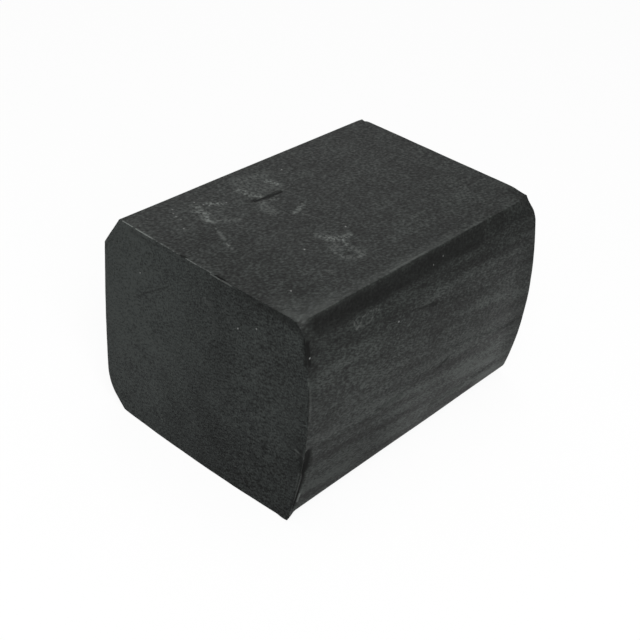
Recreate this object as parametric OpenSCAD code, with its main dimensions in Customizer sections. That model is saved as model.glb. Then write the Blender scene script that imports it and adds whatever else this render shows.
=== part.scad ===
// Rectangular rubber profile: a solid bar of extruded rubber, cut to a short length with a knife.
// X runs across the section, Y along the extrusion, Z up. The base rests on Z = 0.

/* [Section] */
// Width over the crowns of both flanks
section_w = 60; // [50:1:80]
// Height from the base to the top face
section_h = 49; // [42:1:60]
// How far the right flank bulges over the full height
right_crown = 3.3; // [1.5:0.1:5]
// Height of the widest line of the right flank
right_crown_z = 23; // [18:0.5:30]
// How far the left flank bulges over the full height
left_crown = 0.8; // [0.5:0.1:2]
// Height of the widest line of the left flank
left_crown_z = 39; // [20:0.5:40]
// Width of the flat land that the bar rests on
base_land_w = 24; // [12:1:34]
// How far the base lifts from its land out to the flanks
base_relief = 0.4; // [0.2:0.05:1.5]

/* [Corners] */
// Width of the top right chamfer
top_right_chamfer_w = 3.4; // [2:0.1:5]
// Height of the top right chamfer
top_right_chamfer_h = 3; // [2:0.1:5]
// Blend radius at both ends of the top right chamfer
top_right_blend_r = 2; // [0.5:0.1:2.5]
// Radius of the bottom right corner
bottom_right_r = 3; // [2:0.25:5]
// Width of the top left chamfer
top_left_chamfer_w = 4.7; // [3:0.1:8]
// Height of the top left chamfer
top_left_chamfer_h = 7.6; // [4:0.1:9]
// Width of the bottom left chamfer
bottom_left_chamfer_w = 5.6; // [4:0.1:8]
// Height of the bottom left chamfer
bottom_left_chamfer_h = 5.3; // [4:0.1:8]
// Blend radius between the bottom left chamfer and the left flank
bottom_left_flank_r = 9; // [3:0.5:12]
// Blend radius between the bottom left chamfer and the base
bottom_left_base_r = 3; // [1:0.2:4]

/* [Cut] */
// Length of the block, over the crown of the front cut
cut_l = 80; // [40:1:300]
// How far the front cut bulges across the full width
cut_crown = 0.5; // [0.2:0.05:1.5]
// Length of the lip that the knife left at its exit corner
lip_l = 1.8; // [1:0.1:4]
// Height of that lip over the rounded corner
lip_d = 0.9; // [0.5:0.1:1.5]

/* [Hidden] */
rubber_colour = "#3b3d3c";
// Steps of the round stretches
$fn = 360;
// How far a solid is cut from outside it
over = 1;
// How far a stretch is drawn out past the flank that trims it
draw_out = 12;
// How far a rounding disc stands over its stretches, so that it crosses them cleanly
touch = 0.01;
// How deep the lip is rooted in the rubber
lip_root = 0.1;

right_x = section_w / 2;
left_x = -section_w / 2;
front_y = -cut_l / 2;

function unit(v) = v / norm(v);
// Radius of an arc that rises by its crown over a chord
function crown_radius(chord, crown) = (chord * chord / 4 + crown * crown) / (2 * crown);

right_flank_r = crown_radius(section_h, right_crown);
left_flank_r = crown_radius(section_h, left_crown);
cut_r = crown_radius(section_w, cut_crown);
right_flank_c = [right_x - right_flank_r, right_crown_z];
left_flank_c = [left_x + left_flank_r, left_crown_z];

// Where the flanks stand at a height
function left_flank_x(z) = left_flank_c.x - sqrt(pow(left_flank_r, 2) - pow(z - left_flank_c.y, 2));
function right_flank_x(z) = right_flank_c.x + sqrt(pow(right_flank_r, 2) - pow(z - right_flank_c.y, 2));

// Ends of the straight stretches of the section
land_left = [-base_land_w / 2, 0];
land_right = [base_land_w / 2, 0];
base_right = [right_x, base_relief];
base_slope = base_relief / (right_x - land_right.x);
bottom_left_chamfer_high = [left_flank_x(bottom_left_chamfer_h), bottom_left_chamfer_h];
bottom_left_chamfer_x = bottom_left_chamfer_high.x + bottom_left_chamfer_w;
bottom_left_chamfer_low = [bottom_left_chamfer_x, base_slope * (land_left.x - bottom_left_chamfer_x)];
top_left_chamfer_low = [left_flank_x(section_h - top_left_chamfer_h), section_h - top_left_chamfer_h];
top_left_chamfer_high = [top_left_chamfer_low.x + top_left_chamfer_w, section_h];
top_right_chamfer_low = [right_flank_x(section_h - top_right_chamfer_h), section_h - top_right_chamfer_h];
top_right_chamfer_high = [top_right_chamfer_low.x - top_right_chamfer_w, section_h];

// Directions of those stretches towards the flank that they meet, and inward from them
top_in = [0, -1];
base_to_right = unit(base_right - land_right);
base_right_in = [-base_to_right.y, base_to_right.x];
base_left_in = [base_to_right.y, base_to_right.x];
bottom_left_to_flank = unit(bottom_left_chamfer_high - bottom_left_chamfer_low);
bottom_left_in = [bottom_left_to_flank.y, -bottom_left_to_flank.x];
top_right_to_flank = unit(top_right_chamfer_low - top_right_chamfer_high);
top_right_in = [top_right_to_flank.y, -top_right_to_flank.x];

// A stretch from a to b ends here, once it is drawn out past the flank at b
function past(a, b) = b + unit(b - a) * draw_out;

// Centre of a rounding of radius r between a stretch through p and a flank
function flank_rounding_c(p, towards, inward, r, flank_c, flank_r) =
    let (start = p + r * inward,
         d = start - flank_c,
         back = d * towards)
    start + towards * (sqrt(back * back - d * d + pow(flank_r - r, 2)) - back);
// Centre of a rounding of radius r between two straight stretches that meet at p
function straight_rounding_c(p, in_a, in_b, r) = p + r * (in_a + in_b) / (1 + in_a * in_b);

top_right_top_c = straight_rounding_c(top_right_chamfer_high, top_in, top_right_in, top_right_blend_r);
top_right_flank_c = flank_rounding_c(top_right_chamfer_high, top_right_to_flank, top_right_in,
                                     top_right_blend_r, right_flank_c, right_flank_r);
bottom_right_c = flank_rounding_c(land_right, base_to_right, base_right_in, bottom_right_r,
                                  right_flank_c, right_flank_r);
bottom_left_flank_c = flank_rounding_c(bottom_left_chamfer_low, bottom_left_to_flank, bottom_left_in,
                                       bottom_left_flank_r, left_flank_c, left_flank_r);
bottom_left_base_c = straight_rounding_c(bottom_left_chamfer_low, bottom_left_in, base_left_in,
                                         bottom_left_base_r);

// What a corner loses when it is rounded: c is the centre, a and b point to the rounding's ends
module corner_trim(c, a, b, r) {
    reach = r + over;
    difference() {
        polygon([c, c + reach * a, c + reach * (a + b) / (1 + a * b), c + reach * b]);
        translate(c) circle(r + touch);
    }
}

// The section with its chamfers and crowned flanks, before its corners are rounded
module sharp_section() {
    intersection() {
        polygon([land_left, land_right, past(land_right, base_right),
                 past(top_right_chamfer_high, top_right_chamfer_low), top_right_chamfer_high,
                 top_left_chamfer_high, past(top_left_chamfer_high, top_left_chamfer_low),
                 past(bottom_left_chamfer_low, bottom_left_chamfer_high), bottom_left_chamfer_low]);
        translate(right_flank_c) circle(right_flank_r);
        translate(left_flank_c) circle(left_flank_r);
    }
}

module section() {
    difference() {
        sharp_section();
        corner_trim(top_right_top_c, -top_in, -top_right_in, top_right_blend_r);
        corner_trim(top_right_flank_c, -top_right_in, unit(top_right_flank_c - right_flank_c),
                    top_right_blend_r);
        corner_trim(bottom_right_c, -base_right_in, unit(bottom_right_c - right_flank_c), bottom_right_r);
        corner_trim(bottom_left_flank_c, -bottom_left_in, unit(bottom_left_flank_c - left_flank_c),
                    bottom_left_flank_r);
        corner_trim(bottom_left_base_c, -bottom_left_in, -base_left_in, bottom_left_base_r);
    }
}

// Stands a shape drawn in X and Z up, and runs it from just before the front cut back along Y
module run_back(length) {
    translate([0, front_y + length, 0]) rotate([90, 0, 0]) linear_extrude(length + over) children();
}

// The lip at the corner where the blade came out, highest at the cut and gone after its length
module exit_lip() {
    a = -base_right_in;
    b = unit(bottom_right_c - right_flank_c);
    outward = unit(a + b);
    tip = bottom_right_c + (bottom_right_r + lip_d) * outward;
    root = bottom_right_r - lip_root;
    fall = over * lip_d / lip_l;
    intersection() {
        run_back(lip_l)
            polygon([bottom_right_c, bottom_right_c + root * a, tip, bottom_right_c + root * b]);
        translate([tip.x, front_y, tip.y])
            rotate([0, atan2(outward.x, outward.y), 0])
            rotate([90, 0, 90])
            linear_extrude(4 * bottom_right_r, center = true)
            polygon([[-over, fall], [lip_l + over, -lip_d - fall],
                     [lip_l + over, -2 * bottom_right_r], [-over, -2 * bottom_right_r]]);
    }
}

// All that lies behind the bulged front cut
module behind_front_cut() {
    translate([0, front_y + cut_r, -over]) cylinder(h = section_h + 2 * over, r = cut_r);
}

module rubber_profile() {
    color(rubber_colour)
        intersection() {
            union() {
                run_back(cut_l) section();
                exit_lip();
            }
            behind_front_cut();
        }
}

rubber_profile();
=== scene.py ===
"""Looks of a rectangular rubber profile, laid out as a Blender add-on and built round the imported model.

The block is modelled as it is made: the section is drawn, run out along Y, cut at both ends with a knife,
and then handled. X runs across the section, Y along the extrusion and Z up, all in metres.
"""

from collections import namedtuple
from math import atan2, ceil, radians

import bmesh
import bpy
import numpy as np
from bpy.props import FloatProperty, FloatVectorProperty, IntProperty, PointerProperty
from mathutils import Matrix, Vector


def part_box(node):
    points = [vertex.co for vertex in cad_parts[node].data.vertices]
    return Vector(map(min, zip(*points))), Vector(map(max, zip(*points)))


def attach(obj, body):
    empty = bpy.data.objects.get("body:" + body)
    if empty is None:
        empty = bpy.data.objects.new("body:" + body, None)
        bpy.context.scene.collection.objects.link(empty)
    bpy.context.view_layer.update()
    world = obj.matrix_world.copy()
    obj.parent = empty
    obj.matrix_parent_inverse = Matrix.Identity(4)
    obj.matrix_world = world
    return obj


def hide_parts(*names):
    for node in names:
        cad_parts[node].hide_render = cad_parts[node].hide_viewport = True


bl_info = {
    "name": "Rubber profile block",
    "version": (1, 0, 0),
    "blender": (4, 5, 0),
    "location": "View3D > Sidebar > Rubber",
    "description": "Models a short block of extruded rubber profile and the studio that it stands in",
    "category": "Add Mesh",
}

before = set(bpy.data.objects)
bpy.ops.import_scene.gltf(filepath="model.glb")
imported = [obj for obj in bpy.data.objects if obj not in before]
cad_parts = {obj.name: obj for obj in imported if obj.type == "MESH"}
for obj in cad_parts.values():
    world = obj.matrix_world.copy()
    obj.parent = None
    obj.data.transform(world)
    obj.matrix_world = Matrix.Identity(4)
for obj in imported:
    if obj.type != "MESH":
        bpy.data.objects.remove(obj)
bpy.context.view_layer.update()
NODE = "rubber_profile"
LOW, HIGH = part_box(NODE)
MM = 0.001


def linear(hex_colour):
    """The linear colour, with alpha, of an sRGB hex value."""
    shares = [int(hex_colour[i:i + 2], 16) / 255 for i in (1, 3, 5)]
    return [s / 12.92 if s <= 0.04045 else ((s + 0.055) / 1.055) ** 2.4 for s in shares] + [1.0]


def in_metres(name, description, metres):
    return FloatProperty(name=name, description=description, default=metres, unit="LENGTH", precision=5)


def in_watts(name, description, watts):
    return FloatProperty(name=name, description=description, default=watts, subtype="POWER", min=0)


def colour(name, description, hex_colour):
    return FloatVectorProperty(name=name, description=description, default=linear(hex_colour),
                               subtype="COLOR", size=4, min=0, max=1)


# Sizes and colours that a user would change

class BlockSizes(bpy.types.PropertyGroup):
    """The real sizes of the block. Width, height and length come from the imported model."""
    width: in_metres("Width", "Over the crowns of both flanks", round(HIGH.x - LOW.x, 4))
    height: in_metres("Height", "From the base to the top face", round(HIGH.z - LOW.z, 4))
    length: in_metres("Length", "Over the crown of the front cut", round(HIGH.y - LOW.y, 4))
    right_crown: in_metres("Right crown", "How far the right flank bulges", 3.3 * MM)
    right_crown_z: in_metres("Right crown height", "Height of the widest line of the right flank", 23 * MM)
    left_crown: in_metres("Left crown", "How far the left flank bulges", 0.8 * MM)
    left_crown_z: in_metres("Left crown height", "Height of the widest line of the left flank", 39 * MM)
    land: in_metres("Base land", "Width of the flat land that the block rests on", 24 * MM)
    relief: in_metres("Base relief", "How far the base lifts from its land out to the flanks", 0.4 * MM)
    top_right_w: in_metres("Top right chamfer width", "Width of the top right chamfer", 1.7 * MM)
    top_right_h: in_metres("Top right chamfer height", "Height of the top right chamfer", 3.0 * MM)
    top_right_r: in_metres("Top right blend", "Radius between that chamfer and the flank", 2.0 * MM)
    crease_r: in_metres("Crease radius", "Radius between the top face and its right chamfer", 0.4 * MM)
    bottom_right_r: in_metres("Bottom right radius", "Radius of the bottom right corner", 3.0 * MM)
    top_left_w: in_metres("Top left chamfer width", "Width of the top left chamfer", 4.7 * MM)
    top_left_h: in_metres("Top left chamfer height", "Height of the top left chamfer", 7.6 * MM)
    top_left_r: in_metres("Top left blend", "Radius at both ends of the top left chamfer", 0.4 * MM)
    bottom_left_w: in_metres("Bottom left chamfer width", "Width of the bottom left chamfer", 5.6 * MM)
    bottom_left_h: in_metres("Bottom left chamfer height", "Height of the bottom left chamfer", 5.3 * MM)
    bottom_left_flank_r: in_metres("Bottom left blend", "Radius between it and the left flank", 9 * MM)
    bottom_left_base_r: in_metres("Bottom left base", "Radius between it and the base", 3 * MM)
    cut_crown: in_metres("Cut crown", "How far the front cut bulges", 0.5 * MM)
    cut_edge: in_metres("Cut edge", "How far the edges of the cuts are worn down", 0.07 * MM)
    lip: in_metres("Lip", "Height of the lip that the knife left where it came out", 0.9 * MM)
    lip_reach: in_metres("Lip reach", "Length over which the lip fades out", 2.2 * MM)
    across: IntProperty(name="Steps across", description="Quads across the section", default=96, min=8)
    upright: IntProperty(name="Steps up", description="Quads up the section", default=98, min=8)
    along: IntProperty(name="Steps along", description="Half of the quads along it", default=70, min=4)


class RubberColours(bpy.types.PropertyGroup):
    """The rubber's own colours, which are darker than it looks, because its sheen lies over them."""
    # Also the colour in which the dark marks, painted shade among them, are painted
    torn_and_shade: colour("Torn", "Fresh rubber in a tear", "#050605")
    deep: colour("Deep", "The dark side of the skin's grain", "#0f110f")
    skin: colour("Skin", "The extruded skin", "#1d201e")
    bloom: colour("Bloom", "The light side of the skin's grain", "#414643")
    cut: colour("Cut", "The face that the knife left", "#262928")
    cut_light: colour("Cut, light", "The light side of the cut's grain", "#383c3a")
    # Also the colour in which the pale marks, painted highlights among them, are painted
    rubbed: colour("Rubbed", "Rubber rubbed grey", "#6c706d")
    dust: colour("Dust", "White dust caught on the skin", "#b4b6b4")


class Studio(bpy.types.PropertyGroup):
    """The camera, the lights and the table."""
    camera: FloatVectorProperty(name="Camera", description="Where the camera stands", precision=5,
                                default=(147.966 * MM, -192.593 * MM, 180.692 * MM),
                                subtype="TRANSLATION", unit="LENGTH")
    turn: FloatVectorProperty(name="Turn", description="How the camera is turned", subtype="EULER",
                              default=[radians(a) for a in (56.180, -5.403, 41.234)])
    lens: FloatProperty(name="Lens", description="Focal length on a sensor 36 mm wide", default=70.93,
                        subtype="DISTANCE_CAMERA")
    sky: FloatProperty(name="Sky", description="Strength of the light from all round", default=0.15, min=0)
    over: in_watts("Over", "Power of the soft box over the block", 2.0)
    behind: in_watts("Behind", "Power of the soft box behind the block, which gives its top a sheen", 1.0)
    front: in_watts("Front", "Power of the soft box in front of the block", 8.0)
    box: in_metres("Soft box", "Side of each soft box", 0.6)
    table: colour("Table", "The matt table top", "#dadada")


# The section, drawn as on the die

Rounding = namedtuple("Rounding", "centre radius start end")
# A stretch of the outline, with the least number of steps that it needs
Stretch = namedtuple("Stretch", "length least place")
# The most that a round stretch turns in one step
STEP_ANGLE = radians(10)


def unit(v):
    return v / np.hypot(*v)


def crown_radius(chord, crown):
    """Radius of an arc that rises by its crown over a chord."""
    return (chord * chord / 4 + crown * crown) / (2 * crown)


def straight(a, b):
    """A straight stretch from a to b."""
    return Stretch(np.hypot(*(b - a)), 1, lambda share: a + np.outer(share, b - a))


def arc(centre, radius, start, end):
    """A round stretch between two angles."""
    def place(share):
        angle = start + (end - start) * share
        return centre + radius * np.column_stack([np.cos(angle), np.sin(angle)])
    return Stretch(radius * abs(end - start), ceil(abs(end - start) / STEP_ANGLE), place)


def rounding(centre, radius, first, last):
    """A rounding between the outward directions of the two stretches that it joins."""
    start = atan2(first[1], first[0])
    turned = atan2(first[0] * last[1] - first[1] * last[0], first @ last)
    return Rounding(centre, radius, start, start + turned)


def end_of(r):
    return r.centre + r.radius * np.array([np.cos(r.end), np.sin(r.end)])


def start_of(r):
    return r.centre + r.radius * np.array([np.cos(r.start), np.sin(r.start)])


def halves(r):
    """The two halves of a rounding, which lie on two sides of the section's grid."""
    middle = (r.start + r.end) / 2
    return arc(r.centre, r.radius, r.start, middle), arc(r.centre, r.radius, middle, r.end)


def whole(r):
    return arc(r.centre, r.radius, r.start, r.end)


def between_straights(p, out_a, out_b, radius):
    """A rounding between two straight stretches that meet at p and face out_a and out_b."""
    centre = p - radius * (out_a + out_b) / (1 + out_a @ out_b)
    return rounding(centre, radius, out_a, out_b)


def against_flank(p, towards, outward, radius, flank_c, flank_r):
    """Centre of a rounding between a straight stretch through p and the arc of a flank."""
    start = p - radius * outward
    d = start - flank_c
    back = d @ towards
    return start + towards * (np.sqrt(back * back - d @ d + (flank_r - radius) ** 2) - back)


def section_sides(s):
    """The outline of the section as the four sides of a grid: base, right, top and left.

    Each side is a list of stretches, run left to right or upwards, and the corners of the grid lie halfway
    round a rounding."""
    right_r = crown_radius(s.height, s.right_crown)
    left_r = crown_radius(s.height, s.left_crown)
    right_c = np.array([s.width / 2 - right_r, s.right_crown_z])
    left_c = np.array([left_r - s.width / 2, s.left_crown_z])

    def right_x(z):
        return right_c[0] + np.sqrt(right_r ** 2 - (z - right_c[1]) ** 2)

    def left_x(z):
        return left_c[0] - np.sqrt(left_r ** 2 - (z - left_c[1]) ** 2)

    # The corners are tr, tl, br and bl, from top right to bottom left
    up = np.array([0.0, 1.0])
    land_left, land_right = np.array([-s.land / 2, 0]), np.array([s.land / 2, 0])
    slope = unit(np.array([(s.width - s.land) / 2, s.relief]))
    base_right_out = np.array([slope[1], -slope[0]])
    base_left_out = np.array([-slope[1], -slope[0]])

    tr_low = np.array([right_x(s.height - s.top_right_h), s.height - s.top_right_h])
    tr_high = np.array([tr_low[0] - s.top_right_w, s.height])
    tr_down = unit(tr_low - tr_high)
    tr_out = np.array([-tr_down[1], tr_down[0]])
    tl_low = np.array([left_x(s.height - s.top_left_h), s.height - s.top_left_h])
    tl_high = np.array([tl_low[0] + s.top_left_w, s.height])
    tl_down = unit(tl_low - tl_high)
    tl_out = np.array([tl_down[1], -tl_down[0]])
    bl_high = np.array([left_x(s.bottom_left_h), s.bottom_left_h])
    bl_x = bl_high[0] + s.bottom_left_w
    bl_low = np.array([bl_x, (land_left[0] - bl_x) * slope[1] / slope[0]])
    bl_up = unit(bl_high - bl_low)
    bl_out = np.array([-bl_up[1], bl_up[0]])

    br_c = against_flank(land_right, slope, base_right_out, s.bottom_right_r, right_c, right_r)
    tr_c = against_flank(tr_high, tr_down, tr_out, s.top_right_r, right_c, right_r)
    tl_c = against_flank(tl_high, tl_down, tl_out, s.top_left_r, left_c, left_r)
    bl_c = against_flank(bl_low, bl_up, bl_out, s.bottom_left_flank_r, left_c, left_r)

    bottom_right = rounding(br_c, s.bottom_right_r, base_right_out, unit(br_c - right_c))
    top_right = rounding(tr_c, s.top_right_r, unit(tr_c - right_c), tr_out)
    crease = between_straights(tr_high, tr_out, up, s.crease_r)
    top_left = between_straights(tl_high, up, tl_out, s.top_left_r)
    top_left_low = rounding(tl_c, s.top_left_r, tl_out, unit(tl_c - left_c))
    bottom_left = rounding(bl_c, s.bottom_left_flank_r, unit(bl_c - left_c), bl_out)
    bottom_left_low = between_straights(bl_low, bl_out, base_left_out, s.bottom_left_base_r)
    right_flank = Rounding(right_c, right_r, bottom_right.end, top_right.start)
    left_flank = rounding(left_c, left_r, unit(tl_c - left_c), unit(bl_c - left_c))

    base = [halves(bottom_left_low)[1], straight(end_of(bottom_left_low), land_left),
            straight(land_left, land_right), straight(land_right, start_of(bottom_right)),
            halves(bottom_right)[0]]
    right = [halves(bottom_right)[1], whole(right_flank), whole(top_right),
             straight(end_of(top_right), start_of(crease)), halves(crease)[0]]
    top = [halves(crease)[1], straight(end_of(crease), start_of(top_left)), halves(top_left)[0]]
    left = [halves(top_left)[1], straight(end_of(top_left), start_of(top_left_low)),
            whole(top_left_low), whole(left_flank), whole(bottom_left),
            straight(end_of(bottom_left), start_of(bottom_left_low)), halves(bottom_left_low)[0]]
    return base, right, top, left


def side_points(stretches, steps):
    """Points along one side, with its steps shared out over the stretches by length."""
    total = sum(s.length for s in stretches)
    counts = [max(s.least, round(s.length / total * steps)) for s in stretches]
    longest = max(range(len(stretches)), key=lambda i: stretches[i].length)
    counts[longest] += steps - sum(counts)
    points = [s.place(np.arange(n) / n) for s, n in zip(stretches, counts)]
    return np.vstack(points + [stretches[-1].place(np.ones(1))])


def run_shares(points):
    """How far along a side each of its points lies, from 0 to 1."""
    run = np.concatenate([[0], np.cumsum(np.hypot(*np.diff(points, axis=0).T))])
    return run / run[-1]


def section_grid(s):
    """The section as a grid of points, stretched between its four sides."""
    base, right, top, left = section_sides(s)
    base, right = side_points(base, s.across), side_points(right, s.upright)
    top, left = side_points(top, s.across)[::-1], side_points(left, s.upright)[::-1]
    u = ((run_shares(base) + run_shares(top)) / 2)[:, None, None]
    v = ((run_shares(left) + run_shares(right)) / 2)[None, :, None]
    between_base_and_top = (1 - v) * base[:, None] + v * top[:, None]
    between_left_and_right = (1 - u) * left[None] + u * right[None]
    between_corners = ((1 - u) * (1 - v) * base[0] + u * (1 - v) * base[-1]
                       + (1 - u) * v * top[0] + u * v * top[-1])
    return between_base_and_top + between_left_and_right - between_corners


# What handling left on the block, with highlights and shade painted along with it. Each mark is a path in
# the plan of one face, in mm: across and along for the top, along and up for the right flank, across and
# up for the front cut. A rubbed mark is pale and broken up, a worn one pale and smooth, and a scored one
# dark; some rubbed and worn marks are painted highlights, and some scored ones painted shade. Depth is how
# far it lies under the surface.

Mark = namedtuple("Mark", "face kind path width strength depth")

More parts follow.
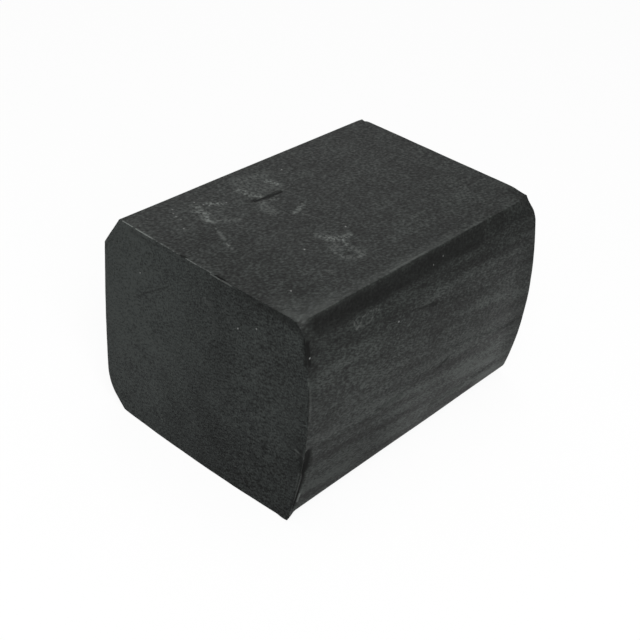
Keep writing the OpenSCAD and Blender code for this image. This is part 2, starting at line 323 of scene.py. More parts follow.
MARKS = (
    # Patch rubbed grey on the top: its middle, its bright rims and lobes, and the groove beside it
    Mark("top", "rubbed", ((-19.5, -9), (-17, -6.6), (-14.6, -4.8)), 5.0, 0.22, 0.02),
    Mark("top", "rubbed", ((-18.2, -10.9), (-15.8, -10.8), (-13.6, -9.6)), 2.0, 0.7, 0.03),
    Mark("top", "rubbed", ((-17.4, -3.2), (-16.4, -2.4), (-14.6, -2.2)), 1.5, 0.85, 0.03),
    Mark("top", "rubbed", ((-22, -8.4), (-20.9, -5.6), (-19.8, -2)), 2.6, 0.3, 0.01),
    Mark("top", "worn", ((-20.7, 0.1), (-19.9, 0.5)), 0.9, 0.2, 0),
    Mark("top", "scored", ((-13, -12.3), (-12.5, -9.9), (-12.4, -7.5), (-12.2, -4.2)), 0.7, 1.0, 0.14),
    Mark("top", "rubbed", ((-10.7, -12), (-8.6, -12.2), (-6.8, -12.8)), 2.6, 0.38, 0.02),
    Mark("top", "rubbed", ((-11.1, -12.6), (-11, -10), (-10.6, -7.3)), 0.9, 0.4, 0.02),
    Mark("top", "rubbed", ((-3.7, -8.9), (-4.5, -6.4), (-5, -4.9)), 1.0, 0.7, 0.02),
    Mark("top", "rubbed", ((-2.1, -7.7), (-1.3, -7.3)), 1.2, 0.3, 0.01),
    # Blotch nearer to the cut, and the scratch that leads away from it
    Mark("top", "rubbed", ((-19, -22), (-14, -23.5)), 6.0, 0.12, 0),
    Mark("top", "rubbed", ((-20.1, -24.2), (-18.1, -23.3)), 0.8, 0.9, 0.02),
    Mark("top", "rubbed", ((-18, -25.8), (-17.3, -25)), 1.0, 0.7, 0.02),
    Mark("top", "rubbed", ((-17, -24.2), (-15.5, -24.1), (-13.8, -25.5)), 2.2, 0.65, 0.03),
    Mark("top", "worn", ((-13.4, -26.1), (-12.5, -25.6), (-11.6, -25.3)), 0.8, 0.6, 0.04),
    Mark("top", "rubbed", ((-18.3, -20.6), (-16.5, -18.4)), 1.2, 0.75, 0.02),
    Mark("top", "rubbed", ((-12, -24.4), (-10.4, -22.6), (-9.2, -20.5)), 1.3, 0.4, 0.01),
    Mark("top", "worn", ((-9.7, -26.9), (-9.6, -26.9)), 0.4, 0.7, 0.02),
    Mark("top", "worn", ((-8.5, -27.3), (-6.8, -28), (-5.5, -28.6)), 0.7, 0.5, 0.06),
    Mark("top", "rubbed", ((-4.4, -28.9), (-3, -29.8), (-1.6, -30.2)), 0.6, 0.85, 0.04),
    # Flakes towards the right flank
    Mark("top", "rubbed", ((6, -12.4), (7.7, -11.1)), 1.6, 0.5, 0.01),
    Mark("top", "rubbed", ((8.3, -11.7), (9.4, -10.3)), 1.8, 0.75, 0.02),
    Mark("top", "rubbed", ((8.6, -9.3), (10.4, -9.7), (12.4, -10.5)), 0.8, 0.9, 0.04),
    Mark("top", "rubbed", ((10, -8.9), (10.1, -6.8)), 1.5, 0.55, 0.02),
    Mark("top", "rubbed", ((10.9, -12.9), (12.7, -12.7)), 2.2, 0.34, 0.01),
    Mark("top", "rubbed", ((11.1, -14), (13.4, -14.9), (14.9, -15)), 0.6, 0.5, 0.03),
    Mark("top", "rubbed", ((14.4, -10.6), (16.9, -10.7)), 1.8, 0.38, 0.01),
    Mark("top", "rubbed", ((15.8, -14.5), (16.4, -13.2), (17.1, -11.8)), 1.3, 0.42, 0.02),
    Mark("top", "scored", ((13.9, -13.2), (14.9, -12.5)), 1.4, 0.28, 0.02),
    Mark("top", "rubbed", ((16.6, -21.4), (17.8, -21.2)), 1.0, 0.3, 0.01),
    # A faint darkening near the front, painted highlight at the front corner and along the crease, and
    # haze over the left of the top
    Mark("top", "scored", ((-4, -33), (16, -33)), 14, 0.12, 0),
    Mark("top", "worn", ((19, -37), (23, -36), (24, -28)), 5.0, 0.1, 0),
    Mark("top", "worn", ((21.5, -38.8), (24.3, -38.6), (24.6, -30)), 2.4, 0.2, 0),
    Mark("top", "worn", ((24.4, -36), (24.4, 12)), 2.4, 0.08, 0),
    Mark("top", "worn", ((24.9, -36), (24.9, -26)), 0.5, 0.12, 0),
    Mark("top", "worn", ((24.9, -20), (24.9, -12)), 0.5, 0.12, 0),
    Mark("top", "worn", ((24.9, -12), (24.9, 0)), 0.5, 0.34, 0),
    Mark("top", "worn", ((24.9, 0), (24.9, 20)), 0.5, 0.14, 0),
    Mark("top", "rubbed", ((-21, -36), (-19, -16)), 12, 0.04, 0),
    # Painted highlight along the front cut's top edge, bright in places, with painted shade under it, and
    # a kink and a nick, both sunk in and darkened with painted shade
    Mark("top", "worn", ((-24.1, -40), (-21.2, -40)), 0.5, 1.0, 0),
    Mark("top", "worn", ((-20, -40), (-15.1, -40)), 0.6, 1.0, 0),
    Mark("top", "rubbed", ((-13.7, -39.9), (-7.3, -39.9)), 0.5, 0.5, 0),
    Mark("top", "scored", ((-6.4, -39.9), (-5.4, -39.5)), 0.5, 0.8, 0.05),
    Mark("top", "worn", ((-4.9, -40), (-2.2, -40)), 0.5, 0.8, 0),
    Mark("top", "rubbed", ((-1.7, -40), (2, -40)), 0.5, 0.6, 0),
    Mark("top", "scored", ((3.3, -39.9), (5.7, -39.8)), 0.7, 1.4, 0.2),
    Mark("front", "worn", ((2, 48.8), (7.8, 48.8)), 0.35, 0.5, 0),
    Mark("front", "scored", ((-22, 47.9), (-15, 47.9)), 0.7, 0.35, 0.02),
    # Front cut: painted shade under its top edge, dark at the corner, a shallow groove by the near edge
    # darkened with painted shade, a thin crack and a smear
    Mark("front", "scored", ((-14, 48.4), (8, 48.4)), 1.6, 0.14, 0),
    Mark("front", "scored", ((10, 48.2), (24.5, 48.2)), 2.4, 0.42, 0),
    Mark("front", "scored", ((-18.7, 33.3), (-16.2, 35.4), (-12.9, 37.7), (-9.9, 39.9)), 0.4, 0.5, 0.03),
    Mark("front", "worn", ((0.9, 42.1), (2.6, 41.6)), 1.1, 0.1, 0),
    Mark("front", "worn", ((2.6, 41.6), (3.1, 40), (3.6, 35)), 0.6, 0.09, 0),
    Mark("front", "worn", ((17, 36), (22, 28)), 11, 0.025, 0),
    Mark("front", "scored", ((20, 48.4), (25, 47.8), (27.4, 45.6)), 1.6, 0.6, 0.03),
    Mark("front", "scored", ((27, 46), (27.5, 43.9), (27.9, 40.6)), 0.9, 0.9, 0.08),
    # Squiggles high on the right flank
    Mark("right", "rubbed", ((-26, 44.3), (-25, 42.2), (-23, 44), (-19.8, 44.4), (-18, 43.7)),
         0.5, 0.6, 0.02),
    Mark("right", "rubbed", ((-25.1, 44.8), (-24.3, 42.8), (-22.5, 41.8), (-20, 42.8)), 0.5, 0.5, 0.02),
    # Painted shade over the chamfer, the upper flank under it and the rolled near end, with a shallow
    # groove there; the far end and a broad stretch of the near half are darker too
    Mark("right", "scored", ((-36, 46.8), (18, 46.8)), 4.6, 0.82, 0),
    Mark("right", "scored", ((18, 46.8), (40, 46.8)), 4.6, 0.48, 0),
    Mark("right", "scored", ((-34, 44), (-12, 44)), 12, 0.42, 0),
    Mark("right", "scored", ((-39.2, 46.6), (-38.8, 44), (-38.8, 38)), 3.6, 0.55, 0),
    Mark("right", "scored", ((-39.5, 44.8), (-39.4, 40.8)), 1.2, 1.2, 0.08),
    Mark("right", "scored", ((-38.8, 38), (-38.8, 34)), 3.6, 0.32, 0),
    Mark("right", "scored", ((-34.3, 26), (-30.6, 27)), 2.4, 0.25, 0),
    Mark("right", "scored", ((-12, 44.5), (40, 44.5)), 8, 0.42, 0),
    Mark("right", "scored", ((39, 40), (39, 8)), 10, 0.28, 0),
    Mark("right", "scored", ((-40, 27), (6, 27)), 26, 0.11, 0),
    # Near edge of the right flank: a painted highlight along it, the torn spot, and the line over the lip,
    # a groove with painted shadow in it and a painted highlight on its sliver. Low down near the front the
    # flank is darker, and a painted highlight runs along its far foot
    Mark("right", "worn", ((-39.4, 35), (-39.4, 28)), 0.45, 0.2, 0),
    Mark("right", "scored", ((-38.9, 19.4), (-38.6, 18), (-38.8, 14.6)), 1.7, 1.4, 0.4),
    Mark("right", "scored", ((-39, 16), (-39.1, 4)), 0.8, 1.6, 0.45),
    Mark("right", "worn", ((-38.4, 7.6), (-38.5, 5.3)), 0.5, 1.0, 0),
    Mark("right", "scored", ((-40, 7), (-16, 7)), 20, 0.35, 0),
    Mark("right", "worn", ((28, 3), (39, 3)), 4.6, 0.38, 0),
    # Scores that the flank took aslant, and pale streaks between them
    Mark("right", "scored", ((-6.9, 39.2), (-1, 38)), 0.5, 0.35, 0.02),
    Mark("right", "scored", ((-1, 38), (1.5, 37.5)), 0.8, 0.6, 0.03),
    Mark("right", "scored", ((1.5, 37.5), (10.4, 35.6), (23, 33.3)), 0.6, 0.3, 0.01),
    Mark("right", "scored", ((4.7, 23.9), (16.7, 21.9), (28, 19.4)), 0.9, 0.28, 0.02),
    Mark("right", "scored", ((28, 19.4), (33, 18.4)), 1.2, 0.24, 0.02),
    Mark("right", "scored", ((33, 18.4), (39.4, 18)), 1.4, 0.46, 0.04),
    Mark("right", "worn", ((26, 22.4), (38, 20.6)), 1.2, 0.1, 0),
    Mark("right", "worn", ((-2, 22.6), (8, 21.6), (20, 19.6)), 1.0, 0.08, 0),
    Mark("right", "scored", ((5, 19.6), (7.8, 20.4)), 1.0, 0.45, 0.02),
    Mark("right", "scored", ((-35.4, 19.3), (-25.4, 18.4), (-17, 17.8)), 1.3, 0.26, 0.01),
    Mark("right", "scored", ((-17, 18.9), (-11.3, 18.6), (-7.7, 18.4)), 1.5, 0.42, 0.03),
    Mark("right", "worn", ((-36.7, 21.9), (-31, 21.2)), 1.4, 0.12, 0),
    Mark("right", "worn", ((-33, 11.4), (-22.5, 9.6)), 1.3, 0.1, 0),
    Mark("right", "scored", ((-31, 14.2), (-22, 13), (-12, 12.6)), 1.3, 0.2, 0.01),
    Mark("right", "scored", ((-24, 8.5), (-20.4, 7.8)), 1.3, 0.35, 0.02),
    Mark("right", "worn", ((14.6, 11.8), (22, 11.2)), 1.2, 0.12, 0),
    Mark("right", "scored", ((6.8, 7.4), (12.7, 7.1), (19.6, 6.8)), 1.5, 0.25, 0.02),
    Mark("right", "scored", ((22.8, 7.2), (31.4, 6.8)), 1.3, 0.25, 0.02),
    # Streaks rubbed along the foot of the flank
    Mark("right", "rubbed", ((-34, 6.8), (-20, 6.2)), 2.2, 0.12, 0),
    Mark("right", "rubbed", ((-14, 8.4), (-3, 8.8)), 2.0, 0.2, 0),
    Mark("right", "rubbed", ((-9, 6.2), (-4, 6.4)), 0.9, 0.3, 0),
    Mark("right", "rubbed", ((-2, 5.6), (12, 6.4)), 1.8, 0.12, 0),
    # The near edge again, on the front cut: darker beside the torn spot, painted shadow along the gap over
    # the lip, and two painted highlights on pale slivers
    Mark("front", "scored", ((28.2, 21.5), (28.2, 14.5)), 4.0, 0.28, 0),
    Mark("front", "scored", ((28.9, 20), (29.5, 16)), 1.2, 0.8, 0.05),
    Mark("front", "scored", ((29.7, 16.5), (28.9, 9), (27.9, 4)), 0.7, 0.7, 0.05),
    Mark("front", "worn", ((27.5, 19.6), (29.6, 18.6)), 0.35, 0.4, 0.03),
    Mark("front", "worn", ((29.1, 14.2), (28.7, 9.5)), 0.35, 0.2, 0),
)

# Dust, as the places of single specks on each face, with their width and strength
SPECKS = (
    ("top", 0.32, 0.7, ((-19.2, 3.6), (7.9, -18.8), (16.7, -32.7), (7.2, -4.8))),
    ("top", 0.32, 0.4, ((-21.3, -28.5), (-19.9, -29.5), (-18.6, -29.9), (-17, -30), (-13.9, -32.1),
                        (-20.6, -22.7), (-18.7, -21.8), (-17.6, -21.1), (-16.2, -17.3))),
    ("right", 0.3, 0.7, ((-39.2, 41.9), (-11.7, 38.5))),
    ("right", 0.22, 0.4, ((0.8, 46.4), (4.5, 47))),
    ("front", 0.26, 0.7, ((-18.4, 39.2), (10.2, 40), (15, 42.4))),
)
KINDS = ("rubbed", "worn", "scored", "dusty")
# How far from its path a mark reaches, as a share of its width, and how steeply it fades out there
MARK_REACH = 0.75
MARK_FADE = 1.5
# The width of the widest mark that gets finer faces, and how much wider the fine stretch is, in mm
NARROW = 0.5
FINE_MARGIN = 1.0
# How many cuts each edge of a face gets there
FINE_CUTS = 2
# Each face's two axes in its plan, and the way that it looks
FACES = {"top": (0, 1, (0, 0, 1)), "right": (1, 2, (1, 0, 0)), "front": (0, 2, (0, -1, 0))}
# How far a place has to look that way to take the face's marks
ON_FACE = 0.5


# What wear did to the edges. A push moves a place, in mm, and with it what lies within its reach.

Push = namedtuple("Push", "place move reach falloff")

PUSHES = {
    "nick of the top edge": Push((4.5, -40, 49), (0, 0.25, -0.3), 1.1, "SMOOTH"),
    "kink of the top edge": Push((-5.7, -40, 49), (0, 0.1, -0.15), 0.8, "SMOOTH"),
    "near corner, under the chamfer": Push((28.3, -39.6, 46), (-0.5, 0.45, -0.2), 3.0, "SMOOTH"),
    "near corner, at the crease": Push((25.4, -40, 49), (-0.8, 0.35, -0.4), 2.6, "SMOOTH"),
    "far right corner": Push((25.4, 40, 49), (-1.2, 0, -0.5), 6.0, "SMOOTH"),
    "far left corner": Push((-24.3, 40, 49), (0.4, -0.45, -0.1), 1.8, "SHARP"),
    "torn spot": Push((29.8, -39.6, 17.5), (-0.3, 0.3, 0), 2.8, "SMOOTH"),
}
# Where the lip is drawn out, in mm, and the way out of the rounded corner there, across and up
LIP_PLACE = (27.2, -39.6, 0.8)
LIP_WAY = (0.64, -0.77)

# Soft unevenness of the skin or of the cuts. Size is the width of a wave along each axis, in mm, depth is
# in mm too, and the turn in degrees.

Ripple = namedtuple("Ripple", "size depth turn group")

RIPPLES = {
    "flank_waves": Ripple((14, 34, 8), 0.16, (0, 0, 0), "skin"),
    "die_lines": Ripple((1.8, 60, 1.8), 0.03, (0, 0, 0), "skin"),
    "blade_waves": Ripple((12, 30, 5), 0.12, (0, -26, 0), "cuts"),
}

# Distances of the rows of vertices behind each cut, in mm
CUT_ROWS = (0, 0.1, 0.22, 0.4, 0.7)
# How near to a cut a vertex counts as lying on it
AT_CUT = 0.05 * MM
# How squarely a vertex within a cut faces along the bar, and the least that still counts as the cut
SQUARE_ON = 0.95
FACING = 0.9


# Work on a mesh, as by hand

def points_of(piece):
    points = np.empty(len(piece.data.vertices) * 3)
    piece.data.vertices.foreach_get("co", points)
    return points.reshape(-1, 3)


def set_points(piece, points):
    piece.data.vertices.foreach_set("co", points.astype(np.float32).ravel())
    piece.data.update()


def normals_of(piece):
    normals = np.empty(len(piece.data.vertices) * 3)
    piece.data.vertices.foreach_get("normal", normals)
    return normals.reshape(-1, 3)


def select_edges(piece, wanted):
    bpy.ops.mesh.select_all(action="DESELECT")
    mesh = bmesh.from_edit_mesh(piece.data)
    for edge in mesh.edges:
        edge.select_set(wanted(edge))
    bmesh.update_edit_mesh(piece.data)


def draw_section(s):
    """A grid primitive, shaped into the section and laid on the plane of the front cut."""
    bpy.ops.object.select_all(action="DESELECT")
    bpy.ops.mesh.primitive_grid_add(x_subdivisions=s.across, y_subdivisions=s.upright, size=1)
    piece = bpy.context.object
    piece.name = "extruded_block"
    # The primitive runs from -0.5 to 0.5 both ways
    steps = (points_of(piece)[:, :2] + 0.5) * (s.across, s.upright)
    i, j = np.rint(steps).astype(int).T
    grid = section_grid(s)[i, j]
    set_points(piece, np.column_stack([grid[:, 0], np.full(len(grid), -s.length / 2), grid[:, 1]]))
    return piece


def run_out(piece, s):
    """Extrudes the section along Y and divides the bar into rows, close together behind the cuts."""
    bpy.ops.object.mode_set(mode="EDIT")
    bpy.ops.mesh.select_all(action="SELECT")
    bpy.ops.mesh.extrude_region_move(TRANSFORM_OT_translate={"value": (0, s.length, 0)})
    bpy.ops.mesh.select_mode(type="EDGE")
    # The operator takes 100 cuts at most, so the bar is halved first
    for cuts in (1, s.along - 1):
        select_edges(piece, lambda edge: abs(edge.verts[0].co.y - edge.verts[1].co.y) > MM)
        bpy.ops.mesh.subdivide(number_cuts=cuts)
    bpy.ops.mesh.select_all(action="SELECT")
    bpy.ops.mesh.normals_make_consistent(inside=False)
    bpy.ops.object.mode_set(mode="OBJECT")
    rows = 2 * s.along
    close = np.array(CUT_ROWS) * MM
    middle = np.linspace(close[-1], s.length - close[-1], rows + 1 - 2 * (len(close) - 1))
    places = np.concatenate([close[:-1], middle, s.length - close[:-1][::-1]])
    points = points_of(piece)
    row = np.rint((points[:, 1] / s.length + 0.5) * rows).astype(int)
    points[:, 1] = places[row] - s.length / 2
    set_points(piece, points)


def group_vertices(piece):
    """Tells the skin from the cuts, by the way that each vertex faces."""
    skin = np.abs(normals_of(piece)[:, 1]) < FACING
    for name, wanted in (("skin", skin), ("cuts", ~skin)):
        group = piece.vertex_groups.new(name=name)
        group.add(np.flatnonzero(wanted).tolist(), 1, "REPLACE")


def cut(piece, s):
    """Gives the front cut the bulge that a knife leaves in rubber, and wears the edges of both cuts."""
    points = points_of(piece)
    normals = normals_of(piece)
    on_edge = (np.abs(points[:, 1]) > s.length / 2 - AT_CUT) & (np.abs(normals[:, 1]) < SQUARE_ON)
    # The bulge is full at the front and gone at the far end
    share = 0.5 - points[:, 1] / s.length
    points[on_edge] -= s.cut_edge * normals[on_edge]
    points[:, 1] += share * s.cut_crown * (2 * points[:, 0] / s.width) ** 2
    set_points(piece, points)


def push(piece, wear):
    """Moves the vertex nearest to a place, and with it what lies within reach of it along the surface."""
    bpy.ops.mesh.select_all(action="DESELECT")
    mesh = bmesh.from_edit_mesh(piece.data)
    place = Vector(wear.place) * MM
    nearest = min(mesh.verts, key=lambda vertex: (vertex.co - place).length_squared)
    nearest.select_set(True)
    bmesh.update_edit_mesh(piece.data)
    bpy.ops.transform.translate(value=Vector(wear.move) * MM, use_proportional_edit=True,
                                use_proportional_connected=True, proportional_edit_falloff=wear.falloff,
                                proportional_size=wear.reach * MM)


def wear_edges(piece, s):
    """Draws the lip out where the knife left the rubber, and wears the corners and the top edge."""
    bpy.ops.object.mode_set(mode="EDIT")
    across, up = (share * s.lip / MM for share in LIP_WAY)
    push(piece, Push(LIP_PLACE, (across, 0, up), s.lip_reach / MM, "LINEAR"))
    for wear in PUSHES.values():
        push(piece, wear)
    bpy.ops.object.mode_set(mode="OBJECT")


def from_path(path, places):
    """How far flat places lie from a path of straight runs."""
    nearest = np.full(len(places), np.inf)
    for a, b in zip(np.array(path[:-1]), np.array(path[1:])):
        run = b - a
        share = np.clip((places - a) @ run / (run @ run), 0, 1)
        nearest = np.minimum(nearest, np.linalg.norm(places - a - share[:, None] * run, axis=1))
    return nearest


def share_of(mark, points, normals):
    """How fully a mark covers each point, from 0 to 1, on the face that it belongs to."""
    across, along, outward = FACES[mark.face]
    away = from_path(mark.path, points[:, (across, along)] / MM)
    share = np.clip(MARK_FADE * (1 - away / (MARK_REACH * mark.width)), 0, 1)
    return np.where(normals @ outward > ON_FACE, share, 0)


def all_marks():
    """The marks, and each speck of dust as a mark with a place for its path."""
    specks = [Mark(face, "dusty", (place, (place[0] + 0.01, place[1])), width, strength, 0)
              for face, width, strength, places in SPECKS for place in places]
    return list(MARKS) + specks


def refine(piece):
    """Divides the faces round the narrow marks, so that they come out crisp."""
    narrow = [mark for mark in all_marks() if mark.width <= NARROW]
    centres = np.array([face.center for face in piece.data.polygons])
    normals = np.array([face.normal for face in piece.data.polygons])
    fine = np.zeros(len(centres), bool)
    for mark in narrow:
        fine |= share_of(mark._replace(width=mark.width + FINE_MARGIN), centres, normals) > 0
    bpy.ops.object.mode_set(mode="EDIT")
    bpy.ops.mesh.select_mode(type="FACE")
    bpy.ops.mesh.select_all(action="DESELECT")
    mesh = bmesh.from_edit_mesh(piece.data)
    for face, wanted in zip(mesh.faces, fine):
        face.select_set(bool(wanted))
    bmesh.update_edit_mesh(piece.data)
    bpy.ops.mesh.subdivide(number_cuts=FINE_CUTS)
    bpy.ops.object.mode_set(mode="OBJECT")


def handle(piece):
    """Sinks the marks into the surface, and keeps for the materials where each kind of them lies.

    The marks of the front cut are kept apart, so that they don't run over its edge."""
    points, normals = points_of(piece), normals_of(piece)
    tones = {kind: np.zeros(len(points)) for kind in KINDS + tuple("cut_" + kind for kind in KINDS)}
    moved = points.copy()
    for mark in all_marks():
        share = share_of(mark, points, normals)
        tone = tones["cut_" * (mark.face == "front") + mark.kind]
        np.maximum(tone, mark.strength * share, out=tone)
        moved -= (mark.depth * MM * share)[:, None] * normals
    set_points(piece, moved)
    for name, tone in tones.items():
        layer = piece.data.attributes.new(name, "FLOAT", "POINT")
        layer.data.foreach_set("value", tone.astype(np.float32))


def ripple(piece, name, waves):
    """Gives the surface a soft unevenness, with an empty for the size and the turn of its waves."""
    bpy.ops.object.select_all(action="DESELECT")
    bpy.ops.object.empty_add(rotation=[radians(angle) for angle in waves.turn])
    space = bpy.context.object
    space.scale = [side * MM for side in waves.size]
    texture = bpy.data.textures.new(name, "CLOUDS")
    # One wave to a unit of the empty's space
    texture.noise_scale = 1
    texture.noise_depth = 1
    modifier = piece.modifiers.new(name, "DISPLACE")
    modifier.texture = texture
    modifier.texture_coords = "OBJECT"
    modifier.texture_coords_object = space
    modifier.strength = waves.depth * MM
    modifier.vertex_group = waves.group
    bpy.context.view_layer.update()
    bpy.context.view_layer.objects.active = piece
    bpy.ops.object.modifier_apply(modifier=name)
    bpy.data.objects.remove(space)


def keep_in_box(piece):
    """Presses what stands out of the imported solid's box flat, so that the block rests on the table."""
    set_points(piece, np.clip(points_of(piece), LOW, HIGH))


# Materials. A pattern's size is the width of its grains in mm. A stretch above 1 draws them out along X, Y
# or Z, and the turn then tilts them, in degrees about each.

Pattern = namedtuple("Pattern", "size detail stretch turn", defaults=((1, 1, 1), (0, 0, 0)))
SKIN_PATTERNS = {
    "grain": Pattern(0.5, 2, (1, 1.7, 1), (25, 33, 0)),
    "mottle": Pattern(6, 4),
    "lines": Pattern(1.3, 3, (1, 33, 1)),
    "streaks": Pattern(3, 4, (1, 12, 1), (-8, 0, 0)),
    "hatch": Pattern(0.3, 4, (1, 4, 1), (-20, 0, 0)),
    "scuffs": Pattern(0.7, 5),
}
CUT_PATTERNS = {
    "grain": Pattern(0.4, 2),
    "drag": Pattern(0.45, 2, (2.5, 1, 1), (0, -20, 0)),
    "mottle": Pattern(6, 4),
}
# How strongly each pattern swings the tone, the roughness and the relief. On the right flank the grain is
# partly taken back for streaks and hatching.
SKIN_TONE = {"grain": 1.75, "mottle": 0.55, "lines": 0.45}
FLANK_TONE = {"grain": -0.9, "streaks": 1.4, "hatch": 2.1}
SKIN_ROUGHNESS = {"grain": -0.35}
SKIN_RELIEF = {"grain": 1.0, "lines": 0.5}
CUT_TONE = {"grain": 1.9, "drag": 1.3, "mottle": 0.6}
CUT_RELIEF = {"grain": 0.6, "drag": 1.0}
# Where the flank's own look begins across the block and grows stronger towards its foot, where it is also
# painted paler as light from the white table, and where the cut turns paler to the left and darker towards
# its foot, that darkness painted shade: from and to, in metres
FLANK_START = (24 * MM, 28 * MM)
FLANK_FOOT = (28 * MM, 0)
CUT_LEFT = (6 * MM, -20 * MM)
CUT_FOOT = (22 * MM, 0)
# The heights of a noise between which a rubbed mark goes from nearly gone to full, and its strength there
BREAK_HEIGHTS = (0.43, 0.6)
BREAK_STRENGTHS = (0.05, 1.3)


def add_node(tree, kind, inputs=None, **settings):
    """Adds a node with its settings. Each input is given a value, or a socket to link from."""
    node = tree.nodes.new(kind)
    for name, value in settings.items():
        setattr(node, name, value)
    for key, value in (inputs or {}).items():
        if isinstance(value, bpy.types.NodeSocket):
            tree.links.new(value, node.inputs[key])
        else:
            node.inputs[key].default_value = value
    return node


def new_material(name):
    material = bpy.data.materials.new(name)
    material.use_nodes = True
    material.node_tree.nodes.clear()
    return material, material.node_tree


def swing(tree, base, parts):
    """A tone that starts at its base and is swung up and down by each part's height over its middle."""
    tone = base - sum(middle * share for _, middle, share in parts)
    for socket, _, share in parts:
        added = add_node(tree, "ShaderNodeMath", {0: socket, 1: share, 2: tone}, operation="MULTIPLY_ADD")
        tone = added.outputs[0]
    return tone


def by_pattern(heights, shares):
    """The parts that patterns take in a swing. A pattern's height has its middle at a half."""
    return tuple((heights[name], 0.5, share) for name, share in shares.items())


def lay_patterns(tree, place, patterns):
    """Lays the rubber's patterns over its surface and returns the height of each, from 0 to 1."""
    heights = {}
    for name, pattern in patterns.items():
        turn = [radians(angle) for angle in pattern.turn]
        drawn = add_node(tree, "ShaderNodeMapping",
                         {"Vector": place, "Rotation": turn, "Scale": pattern.stretch},
                         vector_type="TEXTURE")
        noise = add_node(tree, "ShaderNodeTexNoise", {"Vector": drawn.outputs[0], "Detail": pattern.detail,
                                                      "Scale": 1 / (pattern.size * MM)})
        heights[name] = noise.outputs[0]
    return heights


def rubber_between(tree, tone, shades):
    """The rubber's colour for a tone, between shades that each stand at a height of the tone."""
    ramp = add_node(tree, "ShaderNodeValToRGB", {0: tone})
    stops = ramp.color_ramp.elements
    while len(stops) < len(shades):
        stops.new(0.5)
    for stop, (height, shade) in zip(stops, shades):
        stop.position = height
        stop.color = shade
    return ramp.outputs[0]


def masks(tree, noise, before=""):
    """How pale, how dark and how dusty the marks make each place. A noise breaks up the rubbed ones."""
    kept = {kind: add_node(tree, "ShaderNodeAttribute", attribute_name=before + kind).outputs["Fac"]
            for kind in KINDS}
    low, high = BREAK_HEIGHTS
    weak, strong = BREAK_STRENGTHS
    breaks = add_node(tree, "ShaderNodeMapRange", {"Value": noise, "From Min": low, "From Max": high,
                                                   "To Min": weak, "To Max": strong}).outputs[0]
    pale = add_node(tree, "ShaderNodeMath", {0: kept["rubbed"], 1: breaks, 2: kept["worn"]},
                    operation="MULTIPLY_ADD").outputs[0]
    return pale, kept["scored"], kept["dusty"]


def paint_marks(tree, paint, c, pale, dark, dusty):
    """The colour of the surface with its marks over it, painted highlights and shade among them."""
    for share, over in ((pale, c.rubbed), (dark, c.torn_and_shade), (dusty, c.dust)):
        paint = add_node(tree, "ShaderNodeMix", {"Factor": share, "A": paint, "B": over},
                         data_type="RGBA").outputs[2]
    return paint


def extruded_rubber_skin(c):
    """Black EPDM rubber with its extruded skin.

    It is satin, grained by the filler, drawn into fine lines by the die, and rubbed grey where it was
    handled. The filler's own grain is finer than 0.1 mm, too fine to show, and is drawn at 0.5."""
    material, tree = new_material("extruded_rubber_skin")
    place = add_node(tree, "ShaderNodeTexCoord").outputs["Object"]
    p = lay_patterns(tree, place, SKIN_PATTERNS)
    pale, dark, dusty = masks(tree, p["scuffs"])
    on_block = add_node(tree, "ShaderNodeSeparateXYZ", {0: place}).outputs
    low = add_node(tree, "ShaderNodeMapRange",
                   {"Value": on_block["Z"], "From Min": FLANK_FOOT[0], "From Max": FLANK_FOOT[1]},
                   interpolation_type="SMOOTHSTEP").outputs[0]
    strength = swing(tree, base=1, parts=((low, 0, 0.7),))
    flank = add_node(tree, "ShaderNodeMapRange",
                     {"Value": on_block["X"], "From Min": FLANK_START[0], "From Max": FLANK_START[1],
                      "To Max": strength}, interpolation_type="SMOOTHSTEP").outputs[0]
    # Painted light: low lifts the flank's tone towards its foot, as the white table lights it there
    drawn = swing(tree, base=0.04, parts=by_pattern(p, FLANK_TONE) + ((low, 0, 0.1),))
    drawn = add_node(tree, "ShaderNodeMath", {0: drawn, 1: flank}, operation="MULTIPLY").outputs[0]
    tone = swing(tree, base=0.42, parts=by_pattern(p, SKIN_TONE) + ((drawn, 0, 1),))
    skin = rubber_between(tree, tone, ((0.0, c.torn_and_shade), (0.2, c.deep), (0.45, c.skin), (1.0, c.bloom)))
    paint = paint_marks(tree, skin, c, pale, dark, dusty)
    rough = swing(tree, base=0.52,
                  parts=by_pattern(p, SKIN_ROUGHNESS) + ((pale, 0, 0.2), (dark, 0, 0.45)))
    relief = swing(tree, base=0, parts=by_pattern(p, SKIN_RELIEF))
    bump = add_node(tree, "ShaderNodeBump", {"Height": relief, "Strength": 1, "Distance": 0.015 * MM})
    shader = add_node(tree, "ShaderNodeBsdfPrincipled",
                      {"Base Color": paint, "Roughness": rough, "Specular IOR Level": 0.33,
                       "Normal": bump.outputs[0]})
    add_node(tree, "ShaderNodeOutputMaterial", {"Surface": shader.outputs[0]})
    return material


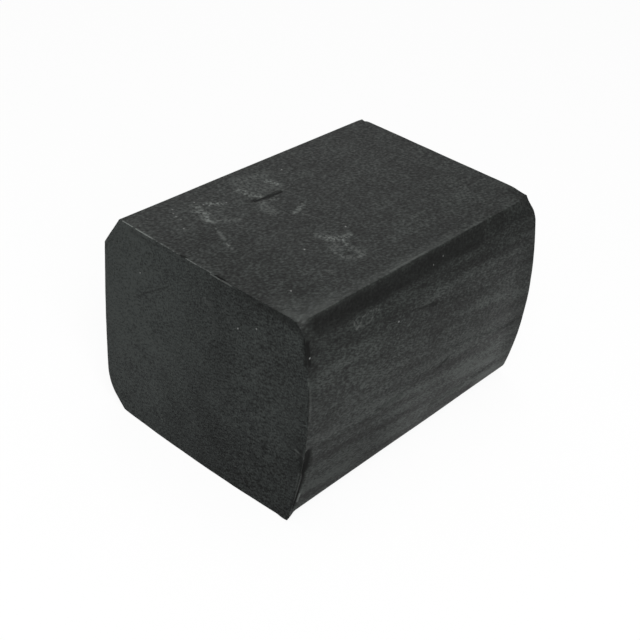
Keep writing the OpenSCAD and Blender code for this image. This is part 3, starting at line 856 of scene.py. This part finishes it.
def knife_cut_rubber(c):
    """The same rubber where the knife went through.

    It is matt, without the skin's sheen, and grained along the way that the blade was drawn. Drag marks
    and grain finer than 0.1 mm are too fine to show, and are drawn at 0.45 and 0.4."""
    material, tree = new_material("knife_cut_rubber")
    place = add_node(tree, "ShaderNodeTexCoord").outputs["Object"]
    p = lay_patterns(tree, place, CUT_PATTERNS)
    pale, dark, dusty = masks(tree, p["mottle"], before="cut_")
    on_block = add_node(tree, "ShaderNodeSeparateXYZ", {0: place}).outputs
    left = add_node(tree, "ShaderNodeMapRange",
                    {"Value": on_block["X"], "From Min": CUT_LEFT[0], "From Max": CUT_LEFT[1]},
                    interpolation_type="SMOOTHSTEP").outputs[0]
    # Painted shade: the cut darkens towards its foot, which faces the table in the block's shadow
    low = add_node(tree, "ShaderNodeMapRange",
                   {"Value": on_block["Z"], "From Min": CUT_FOOT[0], "From Max": CUT_FOOT[1]},
                   interpolation_type="SMOOTHSTEP").outputs[0]
    tone = swing(tree, base=0.48, parts=by_pattern(p, CUT_TONE) + ((left, 0, 0.35), (low, 0, -0.15)))
    face = rubber_between(tree, tone, ((0.0, c.torn_and_shade), (0.5, c.cut), (1.0, c.cut_light)))
    paint = paint_marks(tree, face, c, pale, dark, dusty)
    relief = swing(tree, base=0, parts=by_pattern(p, CUT_RELIEF))
    bump = add_node(tree, "ShaderNodeBump", {"Height": relief, "Strength": 1, "Distance": 0.03 * MM})
    shader = add_node(tree, "ShaderNodeBsdfPrincipled",
                      {"Base Color": paint, "Roughness": 0.6, "Specular IOR Level": 0.16,
                       "Normal": bump.outputs[0]})
    add_node(tree, "ShaderNodeOutputMaterial", {"Surface": shader.outputs[0]})
    return material


def finish(piece, s, c):
    """Gives the piece its skin, and the duller rubber of the cuts on both ends."""
    piece.data.materials.append(extruded_rubber_skin(c))
    piece.data.materials.append(knife_cut_rubber(c))
    for face in piece.data.polygons:
        at_end = abs(face.center.y) > s.length / 2 - MM
        face.material_index = int(at_end and abs(face.normal.y) > FACING)
        face.use_smooth = True


WHITE = linear("#ffffff")
# How much of the table top the camera sees as plain white
BLOWN_OUT = 0.9


def white_table(top):
    """A matt white table top, which the camera sees nearly blown out, with a faint shadow on it."""
    material, tree = new_material("white_table")
    seen = add_node(tree, "ShaderNodeLightPath").outputs["Is Camera Ray"]
    tone = add_node(tree, "ShaderNodeMix", {"Factor": seen, "A": top, "B": WHITE}, data_type="RGBA")
    matt = add_node(tree, "ShaderNodeBsdfDiffuse", {"Color": tone.outputs[2]})
    white = add_node(tree, "ShaderNodeEmission", {"Color": WHITE, "Strength": 1.0})
    share = add_node(tree, "ShaderNodeMath", {0: seen, 1: BLOWN_OUT}, operation="MULTIPLY")
    shader = add_node(tree, "ShaderNodeMixShader",
                      {0: share.outputs[0], 1: matt.outputs[0], 2: white.outputs[0]})
    add_node(tree, "ShaderNodeOutputMaterial", {"Surface": shader.outputs[0]})
    return material


# Operators

class RUBBER_OT_add_block(bpy.types.Operator):
    """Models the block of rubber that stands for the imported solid"""
    bl_idname = "rubber.add_block"
    bl_label = "Rubber block"

    def execute(self, context):
        s = context.scene.rubber_block
        c = context.scene.rubber_colours
        piece = draw_section(s)
        run_out(piece, s)
        refine(piece)
        handle(piece)
        group_vertices(piece)
        cut(piece, s)
        wear_edges(piece, s)
        for name, waves in RIPPLES.items():
            ripple(piece, name, waves)
        keep_in_box(piece)
        finish(piece, s, c)
        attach(piece, "root")
        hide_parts(NODE)
        return {"FINISHED"}


# The studio, in metres: the side of the table, where the soft boxes stand, and what they are aimed at
TABLE_SIDE = 4
SOFT_BOXES = {"over": (0, 0, 0.9), "behind": (-0.5, 0.5, 0.6), "front": (0.5, -0.5, 0.6)}
AIM = Vector((0, 0, 0.02))
# The camera's sensor, in mm, and the nearest that it sees, in metres
SENSOR_WIDTH = 36
NEAREST_SEEN = 0.01


class RUBBER_OT_add_stage(bpy.types.Operator):
    """Sets up the table, the lights and the camera"""
    bl_idname = "rubber.add_stage"
    bl_label = "Table, lights and camera"

    def execute(self, context):
        studio = context.scene.rubber_studio
        bpy.ops.object.select_all(action="DESELECT")
        bpy.ops.mesh.primitive_plane_add(size=TABLE_SIDE)
        floor = context.object
        floor.name = "table"
        floor.data.materials.append(white_table(studio.table))
        bpy.ops.object.camera_add(location=studio.camera, rotation=studio.turn)
        camera = context.object
        camera.data.lens = studio.lens
        camera.data.sensor_width = SENSOR_WIDTH
        camera.data.clip_start = NEAREST_SEEN
        context.scene.camera = camera
        for name, place in SOFT_BOXES.items():
            bpy.ops.object.light_add(type="AREA", location=place)
            light = context.object
            light.rotation_euler = (AIM - light.location).to_track_quat("-Z", "Y").to_euler()
            light.data.size = studio.box
            light.data.energy = getattr(studio, name)
        world = bpy.data.worlds.new("studio")
        world.use_nodes = True
        tree = world.node_tree
        tree.nodes.clear()
        seen = add_node(tree, "ShaderNodeLightPath").outputs["Is Camera Ray"]
        strength = add_node(tree, "ShaderNodeMix", {"Factor": seen, "A": studio.sky, "B": 1.0},
                            data_type="FLOAT").outputs[0]
        sky = add_node(tree, "ShaderNodeBackground", {"Color": WHITE, "Strength": strength})
        add_node(tree, "ShaderNodeOutputWorld", {"Surface": sky.outputs[0]})
        context.scene.world = world
        context.scene.view_settings.view_transform = "Standard"
        return {"FINISHED"}


class RUBBER_PT_panel(bpy.types.Panel):
    """Lists the pieces and the sizes that they are made from"""
    bl_idname = "RUBBER_PT_panel"
    bl_label = "Rubber profile"
    bl_space_type = "VIEW_3D"
    bl_region_type = "UI"
    bl_category = "Rubber"

    def draw(self, context):
        for operator in (RUBBER_OT_add_block, RUBBER_OT_add_stage):
            self.layout.operator(operator.bl_idname)
        scene = context.scene
        for group in (scene.rubber_block, scene.rubber_colours, scene.rubber_studio):
            box = self.layout.box()
            for name in group.__annotations__:
                box.prop(group, name)


CLASSES = (BlockSizes, RubberColours, Studio, RUBBER_OT_add_block, RUBBER_OT_add_stage, RUBBER_PT_panel)


def register():
    for cls in CLASSES:
        bpy.utils.register_class(cls)
    bpy.types.Scene.rubber_block = PointerProperty(type=BlockSizes)
    bpy.types.Scene.rubber_colours = PointerProperty(type=RubberColours)
    bpy.types.Scene.rubber_studio = PointerProperty(type=Studio)


def unregister():
    del bpy.types.Scene.rubber_block
    del bpy.types.Scene.rubber_colours
    del bpy.types.Scene.rubber_studio
    for cls in reversed(CLASSES):
        bpy.utils.unregister_class(cls)


def main():
    register()
    bpy.ops.rubber.add_block()
    bpy.ops.rubber.add_stage()


if __name__ == "__main__":
    main()
